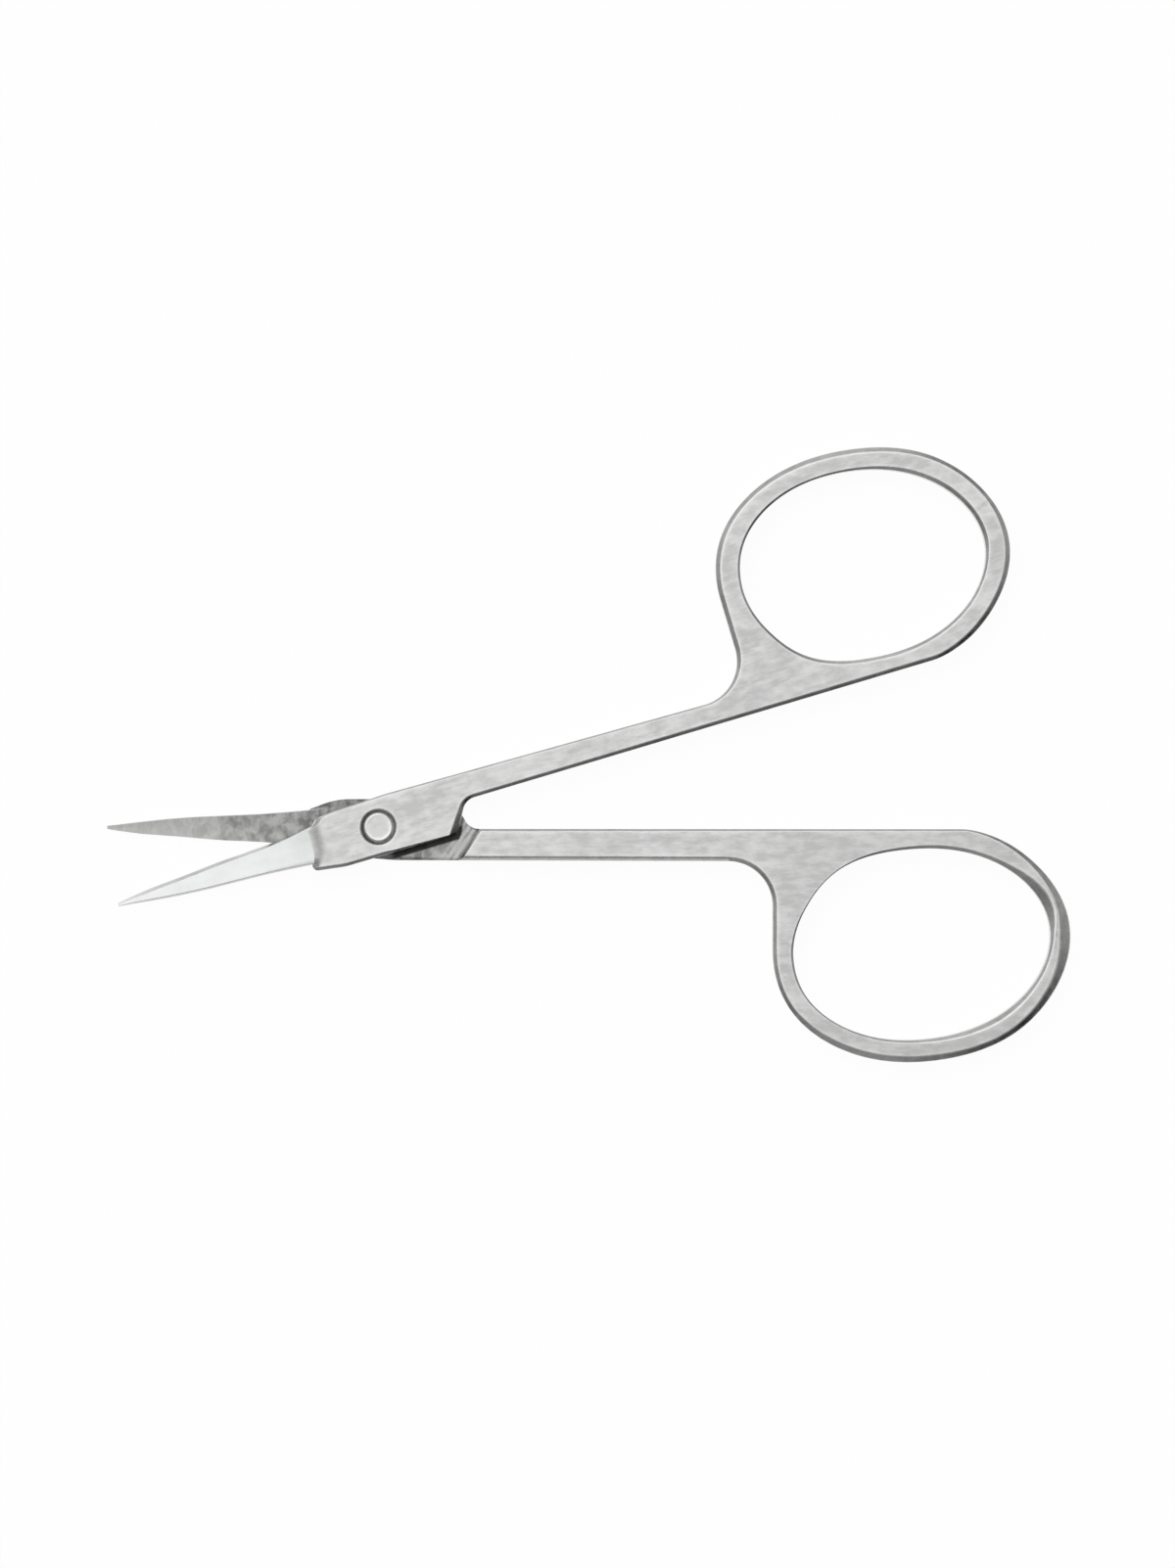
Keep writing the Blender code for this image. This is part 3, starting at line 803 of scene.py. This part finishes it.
def joined_half(name, half, bore_profile, materials):
    """One forging with its blade joined on, which carries no wear or painted shade."""
    body = forging(name, half, bore_profile)
    tool = blade(name + "_blade")
    for thing in (body, tool):
        for material in materials:
            thing.data.materials.append(material)
    union = body.modifiers.new("blade", "BOOLEAN")
    union.operation = "UNION"
    union.solver = "EXACT"
    union.object = tool
    bpy.context.view_layer.update()
    graph = bpy.context.evaluated_depsgraph_get()
    joined = bpy.data.meshes.new_from_object(body.evaluated_get(graph))
    body.modifiers.clear()
    body.data = joined
    bpy.data.objects.remove(tool)
    for mark in MARKS:
        for vertex, value in zip(joined.vertices, joined.attributes[mark].data):
            if vertex.co.x < -half.horn_reach:
                value.value = 0.0
    joined.set_sharp_from_angle(angle=radians(SHARP_DEGREES))
    return body


def turned(name, profile):
    """A body turned about the z axis from rows of radius, height, wear and painted shade that start and end
    on it.
    """
    mesh, layers = marked_mesh()
    start = mesh.verts.new((0, 0, profile[0][1]))
    rows = [circle(mesh, layers, *entry) for entry in profile[1:-1]]
    end = mesh.verts.new((0, 0, profile[-1][1]))
    for low, high in zip(rows, rows[1:]):
        strip(mesh, closed(low), closed(high), 0)
    for centre, row in ((start, rows[0]), (end, rows[-1])):
        for index in range(len(row)):
            mesh.faces.new((centre, row[index - 1], row[index])).smooth = True
    bmesh.ops.recalc_face_normals(mesh, faces=mesh.faces)
    return finished_object(name, mesh)


def rivet(name, material):
    """The rivet that the two halves turn on, with a softly rounded peened end, a burnished band on it, and
    painted shade in the groove round the end.
    """
    profile = [(0, 0, 0, 0), (HEAD_RADIUS - HEAD_MARGIN, 0, 0, 0)]
    for step in range(HEAD_BREAK_STEPS + 1):
        angle = pi / 2 * step / HEAD_BREAK_STEPS
        profile.append((HEAD_RADIUS - HEAD_BREAK * (1 - sin(angle)), HEAD_BREAK * (1 - cos(angle)), 1, 0))
    profile += [
        (HEAD_RADIUS, HEAD_HEIGHT, 0, 0),
        (RIVET_RADIUS, HEAD_HEIGHT, 0, 0),
        (RIVET_RADIUS, THICKNESS - PEEN_DEPTH, 0, 1),
        (PEEN_RADIUS, THICKNESS - PEEN_BREAK, 0, 1),
    ]
    for step in range(1, PEEN_BREAK_STEPS + 1):
        clean = step / PEEN_BREAK_STEPS
        angle = pi / 2 * clean
        radius = PEEN_RADIUS - PEEN_BREAK * (1 - cos(angle))
        height = THICKNESS - PEEN_BREAK * (1 - sin(angle))
        profile.append((radius, height, clean, 1 - clean ** GROOVE_POWER))
    for radius, wear in ((BURNISHED_RADIUS, 1.0), (PLAIN_RADIUS, 0.0), (PLAIN_RADIUS / 2, 0.0)):
        profile.append((radius, THICKNESS - END_DISH * (1 - radius / PEEN_RADIUS), wear, 0))
    profile.append((0, THICKNESS - END_DISH, 0, 0))
    body = turned(name, profile)
    body.data.materials.append(material)
    body.data.set_sharp_from_angle(angle=radians(SHARP_DEGREES))
    return body


# Materials

# The darkest and the lightest base colour of each steel, and its least and greatest roughness
FLATS = ((0.575, 0.575, 0.572, 1), (0.845, 0.845, 0.84, 1), 0.30, 0.42)
EDGES = ((0.60, 0.60, 0.595, 1), (0.79, 0.79, 0.782, 1), 0.22, 0.34)
GROUND_SIDES = ((0.22, 0.22, 0.22, 1), (0.78, 0.78, 0.77, 1), 0.46, 0.60)
POLISHED_SIDES = ((0.66, 0.675, 0.67, 1), (0.735, 0.75, 0.745, 1), 0.26, 0.36)
RIVET_END = ((0.64, 0.64, 0.632, 1), (0.86, 0.86, 0.85, 1), 0.28, 0.40)
# The near-black colour of painted shade
PAINTED_SHADE_COLOUR = (0.012, 0.011, 0.010, 1)

# The values between which most of a noise lies, and those that its roughness is spread over
NOISE_RANGE = (0.35, 0.65)
FLAT_NOISE_RANGE = (0.42, 0.58)
BLOTCH_RANGE = (0.38, 0.62)
PATCH_RANGE = (0.30, 0.70)
ROUGHNESS_RANGE = (0.25, 0.75)

# How far noise and ridges stand up
BUMP_HEIGHT = 0.00001
RIDGE_HEIGHT = 0.000003

# The flats are a little brighter round the pivot, and a half's flats can be darker toward its ring
BOSS_POLISH = 0.20
DARKENING_START = 0.0300
DARKENING_END = 0.0450

# How light the ground inner faces are, by distance from the blade's tip; painted shade makes them darkest
# beside the other half's boss. Their blotches, mottling with painted reflections, grow stronger between two
# of these distances
GROUND_LEVELS = (
    (0.0, 0.80), (0.0060, 0.80), (0.0095, 0.72), (0.0115, 0.52), (0.0165, 0.52), (0.0185, 0.40),
    (0.0205, 0.20), (0.0240, 0.20), (0.0270, 0.44), (0.0290, 0.46), (0.0310, 0.62), (0.0340, 0.70),
)
BLOTCH_PLACES = (0.0060, 0.0130)
BLOTCH_STRENGTHS = (0.15, 0.31)
GRAIN_LEVEL = 0.06


class Tree:
    """Short ways to add and join nodes. Their inputs are numbers, colours or the outputs of other nodes."""

    def __init__(self, owner):
        owner.use_nodes = True
        self.nodes = owner.node_tree.nodes
        self.links = owner.node_tree.links

    def feed(self, node, inputs):
        for name, value in inputs.items():
            if isinstance(value, bpy.types.NodeSocket):
                self.links.new(value, node.inputs[name])
            else:
                node.inputs[name].default_value = value

    def add(self, kind, output, inputs, **settings):
        """One output of a new node, once its settings and inputs are in place."""
        node = self.nodes.new(kind)
        for name, value in settings.items():
            setattr(node, name, value)
        self.feed(node, inputs)
        return node.outputs[output]

    def math(self, operation, total, *others):
        """An operation on one value, on two, or on more from the first to the last."""
        for value in others or (0.0,):
            total = self.add("ShaderNodeMath", "Value", {0: total, 1: value}, operation=operation)
        return total

    def mixed(self, *parts):
        """A sum of values, each times its share."""
        total = 0.0
        for value, share in parts:
            total = self.math("ADD", self.math("MULTIPLY", value, share), total)
        return total

    def mix(self, kind, share, first, second):
        """A blend of two numbers, with the kind FLOAT, or of two colours, with the kind RGBA."""
        return self.add("ShaderNodeMix", "Result", {"Factor": share, "A": first, "B": second}, data_type=kind)

    def remap(self, value, low, high, to_low=0.0, to_high=1.0, kind="LINEAR"):
        """A value brought from one range into another, and held at the range's ends."""
        inputs = {"Value": value, "From Min": low, "From Max": high, "To Min": to_low, "To Max": to_high}
        return self.add("ShaderNodeMapRange", "Result", inputs, interpolation_type=kind)

    def ease(self, value, low, high, to_low=0.0, to_high=1.0):
        """The same as remap, with a soft start and end."""
        return self.remap(value, low, high, to_low, to_high, "SMOOTHSTEP")

    def toward(self, place, direction):
        """How far a place lies along a direction."""
        return self.add("ShaderNodeVectorMath", "Value", {0: place, 1: direction}, operation="DOT_PRODUCT")

    def graded(self, value, levels):
        """A level that follows a table of places and levels."""
        low, high = levels[0][0], levels[-1][0]
        node = self.nodes.new("ShaderNodeValToRGB")
        stops = node.color_ramp.elements
        for place, level in levels:
            share = (place - low) / (high - low)
            stop = stops[0] if share == 0 else stops[-1] if share == 1 else stops.new(share)
            stop.color = (level, level, level, 1)
        self.feed(node, {"Fac": self.remap(value, low, high)})
        return node.outputs["Color"]


class Steel(Tree):
    """The nodes of one metal material, in the frame of the half that wears it."""

    def __init__(self, name, placement):
        self.material = bpy.data.materials.new(name)
        super().__init__(self.material)
        self.shader = self.nodes["Principled BSDF"]
        self.feed(self.shader, {"Metallic": 1.0})
        place = {
            "Vector": self.add("ShaderNodeTexCoord", "Object", {}),
            "Location": placement.to_translation(),
            "Rotation": placement.to_euler(),
        }
        self.local = self.add("ShaderNodeMapping", "Vector", place, vector_type="TEXTURE")

    def noise(self, counts, detail=3.0, roughness=0.6, distortion=0.0):
        """Noise with a count of features per metre along each axis of the half."""
        place = self.add("ShaderNodeMapping", "Vector", {"Vector": self.local, "Scale": counts})
        inputs = {"Scale": 1.0, "Detail": detail, "Roughness": roughness, "Distortion": distortion}
        return self.add("ShaderNodeTexNoise", "Fac", {"Vector": place, **inputs})

    def along(self, direction, start):
        """Distance from a place, along a direction, in metres."""
        return self.math("SUBTRACT", self.toward(self.local, direction), start)

    def attribute(self, name):
        return self.add("ShaderNodeAttribute", "Fac", {}, attribute_name=name)

    def painted_shading(self):
        """The painted shade that the vertices carry, a little broken up."""
        patches = self.remap(self.noise(3 * (1500.0,), 2.0, 0.5), *PATCH_RANGE, 0.75)
        return self.math("MULTIPLY", self.attribute("painted_shade"), patches)

    def finished(self, look, tone, grain, height, bump, painted_shading=0.0, distance=BUMP_HEIGHT):
        """The material: its tone with painted shade over it, roughness that follows a grain, and bumps."""
        dark, light, least, greatest = look
        relief = {"Height": height, "Strength": bump, "Distance": distance}
        self.feed(self.shader, {
            "Base Color": self.mix("RGBA", painted_shading, self.mix("RGBA", tone, dark, light), PAINTED_SHADE_COLOUR),
            "Roughness": self.remap(grain, *ROUGHNESS_RANGE, least, greatest),
            "Normal": self.add("ShaderNodeBump", "Normal", relief),
        })
        return self.material


def brushed_flats(half_name, placement, ring_darkening):
    """Flats brushed along the handle, with soft clouding and a lighter worn line beside each rim."""
    nodes = Steel(half_name + "_brushed_flats", placement)
    streaks = nodes.noise((420.0, 1700.0, 1700.0))
    hairs = nodes.noise((900.0, 9000.0, 9000.0), 2.0, 0.5)
    clouds = nodes.noise((700.0, 1300.0, 1300.0))
    drifts = nodes.noise((110.0, 190.0, 190.0), 1.0, 0.5)
    lines = nodes.mixed((streaks, 0.6), (hairs, 0.4))
    blend = nodes.mixed((streaks, 0.30), (hairs, 0.15), (clouds, 0.35), (drifts, 0.20))
    tone = nodes.remap(blend, *FLAT_NOISE_RANGE)
    from_pivot = nodes.along((1.0, 0.0, 0.0), 0.0)
    polish = nodes.ease(from_pivot, -TOE_REACH, HEEL_REACH, BOSS_POLISH, 0.0)
    darkening = nodes.ease(from_pivot, DARKENING_START, DARKENING_END, 0.0, ring_darkening)
    tone = nodes.mixed((tone, 0.85), (nodes.attribute("edge_wear"), 0.30), (polish, 1.0), (darkening, -1.0))
    return nodes.finished(FLATS, tone, lines, lines, 0.20)


def tumbled_edges(half_name, placement):
    """Rims and walls, smoothed by tumbling, with faint pits and the painted shade that their vertices carry.
    """
    nodes = Steel(half_name + "_tumbled_edges", placement)
    streaks = nodes.noise((400.0, 2600.0, 5200.0))
    clouds = nodes.noise(3 * (1100.0,))
    tone = nodes.remap(nodes.mixed((streaks, 0.4), (clouds, 0.6)), *NOISE_RANGE)
    return nodes.finished(EDGES, tone, clouds, streaks, 0.15, nodes.painted_shading())


def other_half_direction(u, v):
    """A direction in the plan of the other half, at rest, as seen in this half's own frame."""
    turn = radians(REST_OPENING_DEGREES)
    return (u * cos(turn) - v * sin(turn), -u * sin(turn) - v * cos(turn), 0.0)


def seam_beside_boss(nodes):
    """Painted shadow on the inner face along the boss of the other half at rest, and the dip under it."""
    past_edge = nodes.along(other_half_direction(0, -1), BOSS_HALF_WIDTH)
    from_edge = nodes.math("ABSOLUTE", past_edge)
    along_edge = nodes.along(other_half_direction(1, 0), 0.0)
    notch_edge = (sin(radians(NOTCH_DEGREES)), -cos(radians(NOTCH_DEGREES)))
    heel_depth = HEEL_REACH * notch_edge[0] - BOSS_HALF_WIDTH * notch_edge[1]
    from_notch = nodes.along(other_half_direction(*notch_edge), heel_depth)
    beside = nodes.ease(from_edge, SEAM_WIDTH - SEAM_FADE, SEAM_WIDTH, 1.0, 0.0)
    begun = nodes.ease(along_edge, SEAM_START, SEAM_START + SEAM_TAPER)
    behind = nodes.ease(from_notch, NOTCH_SEAM_WIDTH - SEAM_FADE, NOTCH_SEAM_WIDTH, 1.0, 0.0)
    seam = nodes.math("MULTIPLY", beside, begun, behind)
    up_the_side = nodes.ease(past_edge, SEAM_WIDTH - SEAM_FADE, SEAM_WIDTH, SIDE_SEAM_SHARE, 0.0)
    side_seam = nodes.math("MULTIPLY", behind, nodes.ease(from_notch, 0.0, SEAM_FADE / 2), up_the_side)
    painted_shading = nodes.math("MULTIPLY", nodes.math("MAXIMUM", seam, side_seam), SEAM_SHADOW)
    dip = nodes.math("MINIMUM", nodes.math("SUBTRACT", from_edge, SEAM_WIDTH), 0.0)
    slope = tan(radians(SEAM_DEGREES))
    return painted_shading, nodes.math("MULTIPLY", dip, slope, nodes.math("MULTIPLY", begun, behind))


def ground_faces(half_name, placement):
    """Dull inner faces: lighter toward the tip, with painted shade near the other half's boss, blotched with
    the grind's mottling and painted reflections, with milling lines and a painted shadow beside the boss and
    the shoulder.
    """
    nodes = Steel(half_name + "_ground_faces", placement)
    grain = nodes.noise((4800.0, 600.0, 600.0))
    blotches = nodes.noise((1150.0, 850.0, 850.0), 2.0, 0.5, 0.6)
    specks = nodes.noise(3 * (3600.0,), 2.0, 0.5)
    from_tip = nodes.along((1.0, 0.0, 0.0), -BLADE_REACH)
    # Blotches: the grind's mottling with painted reflections in it, stronger toward the boss
    marks = nodes.remap(nodes.mixed((blotches, 0.84), (specks, 0.16)), *BLOTCH_RANGE, -1.0)
    marks = nodes.math("MULTIPLY", marks, nodes.ease(from_tip, *BLOTCH_PLACES, *BLOTCH_STRENGTHS))
    lines = nodes.remap(grain, *PATCH_RANGE, -GRAIN_LEVEL, GRAIN_LEVEL)
    tone = nodes.math("ADD", nodes.graded(from_tip, GROUND_LEVELS), marks, lines)

    place, normal = shoulder_line()
    depth = nodes.along((normal.x, normal.y, 0.0), place.dot(normal))
    waves = nodes.math("SINE", nodes.math("MULTIPLY", depth, 2 * pi / MILLING_PITCH))
    near = nodes.ease(depth, -MILLING_REACH, -MILLING_REACH + MILLING_FADE)
    milled = nodes.mixed((waves, 0.27), (grain, 0.1), (1.0, MILLED_LEVEL))
    tone = nodes.math("MAXIMUM", nodes.math("ADD", tone, nodes.math("MULTIPLY", milled, near)), 0.0)

    # The painted shadow of the other half's boss at rest, and its dip
    painted_shading, dip = seam_beside_boss(nodes)
    # Painted shade on the inner face at the shoulder's foot
    at_shoulder = nodes.ease(depth, -SHOULDER_SEAM_WIDTH, 0.0, 0.0, SHOULDER_SHADE)
    painted_shading = nodes.math("MAXIMUM", painted_shading, at_shoulder)
    ridges = nodes.mixed((grain, 0.6), (nodes.math("MULTIPLY", waves, near), 0.4))
    relief = nodes.math("ADD", nodes.math("MULTIPLY", ridges, RIDGE_HEIGHT), dip)
    return nodes.finished(GROUND_SIDES, tone, blotches, relief, 1.0, painted_shading, 1.0)


def polished_blade(half_name, placement):
    """The bright outer face of a blade, with faint grinding lines across it."""
    nodes = Steel(half_name + "_polished_blade", placement)
    grain = nodes.noise((5200.0, 420.0, 420.0))
    clouds = nodes.noise((420.0, 900.0, 900.0), 3.0, 0.55)
    tone = nodes.remap(nodes.mixed((grain, 0.45), (clouds, 0.55)), *NOISE_RANGE)
    return nodes.finished(POLISHED_SIDES, tone, grain, grain, 0.08)


def rivet_end(placement):
    """The rivet, with a burnished band round its end and painted shade in the groove round it."""
    nodes = Steel("rivet_end", placement)
    clouds = nodes.noise(3 * (1500.0,))
    specks = nodes.noise(3 * (7000.0,), 2.0, 0.5)
    tone = nodes.remap(nodes.mixed((clouds, 0.6), (specks, 0.4)), *NOISE_RANGE, 0.0, 0.6)
    tone = nodes.mixed((tone, 1.0), (nodes.attribute("edge_wear"), 0.9))
    return nodes.finished(RIVET_END, tone, specks, specks, 0.2, nodes.painted_shading())


# Pieces

def placed_half(name, half, bore_profile, placement, body, node):
    """One finished half on its body, in place of its node."""
    materials = [brushed_flats(name, placement, half.ring_darkening)]
    materials += [make(name, placement) for make in (tumbled_edges, ground_faces, polished_blade)]
    thing = joined_half(name, half, bore_profile, materials)
    thing.data.transform(placement)
    smooth = thing.modifiers.new("flat_faces_stay_flat", "WEIGHTED_NORMAL")
    smooth.keep_sharp = True
    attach(thing, body)
    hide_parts(node)


meeting_point = Matrix.Translation((PIVOT.x, PIVOT.y, HALF_THICKNESS))
thumb_placement = meeting_point @ Matrix.Rotation(radians(REST_OPENING_DEGREES), 4, "Z")
finger_placement = meeting_point @ Matrix.Rotation(pi, 4, "X")
placed_half(
    "thumb_half_forging", THUMB, THUMB_BORE, thumb_placement, "thumb_side", "thumb_half"
)
placed_half(
    "finger_half_forging", FINGER, FINGER_BORE, finger_placement, "finger_side", "finger_half",
)

pivot_rivet = rivet("pivot_rivet_turned", rivet_end(Matrix.Identity(4)))
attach(pivot_rivet, "finger_side")
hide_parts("pivot_rivet")

# Stage

VIEW_CENTRE = Vector((0.0195, 0.00405))
VIEW_HEIGHT = 0.1464
LENS = 200.0
SENSOR = 36.0
CLIP_END = 10.0
FLOOR_SIZE = 4.0
FLOOR_COLOUR = (0.9, 0.9, 0.9, 1)
FLOOR_GLOW_SHARE = 0.9
FLOOR_GLOW = 1.05

# How bright the walls of the studio are, every 15 degrees from +X toward +Y
WALL_LEVELS = (
    0.32, 0.37, 0.34, 0.20, 0.23, 0.42, 0.62, 0.65, 0.48, 0.50, 0.54, 0.46,
    0.43, 0.30, 0.14, 0.20, 0.25, 0.30, 0.29, 0.11, 0.01, 0.0, 0.08, 0.18,
)
CEILING_LEVEL = 0.34
CEILING_SINES = (0.40, 1.0)
KEY_LEVEL = 1.32
WHITE = (1, 1, 1, 1)
KEY_FROM = (-0.22, 0.31, 0.925)
KEY_COSINES = (0.80, 0.95)

camera_data = bpy.data.cameras.new("camera")
camera_data.lens = LENS
camera_data.sensor_width = SENSOR
camera_data.clip_end = CLIP_END
camera = bpy.data.objects.new("camera", camera_data)
camera.location = (VIEW_CENTRE.x, VIEW_CENTRE.y, THICKNESS + VIEW_HEIGHT * LENS / SENSOR)
bpy.context.scene.collection.objects.link(camera)
bpy.context.scene.camera = camera


def white_floor():
    """A floor that looks white and keeps a faint shadow of the scissors."""
    mesh = bmesh.new()
    bmesh.ops.create_grid(mesh, x_segments=1, y_segments=1, size=FLOOR_SIZE / 2)
    floor = finished_object("floor", mesh)
    material = bpy.data.materials.new("white_floor")
    tree = Tree(material)
    shader = tree.nodes["Principled BSDF"]
    tree.feed(shader, {"Base Color": FLOOR_COLOUR, "Roughness": 1.0, "Specular IOR Level": 0.0})
    glow = tree.add("ShaderNodeEmission", "Emission", {"Strength": FLOOR_GLOW})
    rays = tree.nodes.new("ShaderNodeLightPath").outputs
    seen = tree.math("MAXIMUM", rays["Is Camera Ray"], rays["Is Glossy Ray"], rays["Is Transmission Ray"])
    share = tree.math("MULTIPLY", seen, FLOOR_GLOW_SHARE)
    surface = tree.add("ShaderNodeMixShader", "Shader", {"Fac": share, 1: shader.outputs["BSDF"], 2: glow})
    tree.feed(tree.nodes["Material Output"], {"Surface": surface})
    floor.data.materials.append(material)


def studio():
    """A soft room with a bright window overhead toward the upper left and dark walls at the lower right."""
    world = bpy.data.worlds.new("studio")
    bpy.context.scene.world = world
    tree = Tree(world)
    place = tree.add("ShaderNodeTexCoord", "Generated", {})
    split = tree.nodes.new("ShaderNodeSeparateXYZ")
    tree.feed(split, {0: place})
    way = tree.math("ARCTAN2", split.outputs["Y"], split.outputs["X"])
    count = len(WALL_LEVELS)
    levels = [WALL_LEVELS[(index + count // 2) % count] for index in range(count + 1)]
    walls = tree.graded(way, [(pi * (2 * index / count - 1), level) for index, level in enumerate(levels)])
    overhead = tree.ease(split.outputs["Z"], *CEILING_SINES)
    room = tree.mix("FLOAT", overhead, walls, CEILING_LEVEL)
    window = tree.ease(tree.toward(place, Vector(KEY_FROM).normalized()), *KEY_COSINES)
    total = tree.mix("FLOAT", window, room, KEY_LEVEL)
    seen = tree.add("ShaderNodeLightPath", "Is Camera Ray", {})
    brightness = tree.math("MAXIMUM", total, seen)
    tree.feed(tree.nodes["Background"], {"Color": WHITE, "Strength": brightness})


white_floor()
studio()

bpy.context.scene.view_settings.view_transform = "Standard"
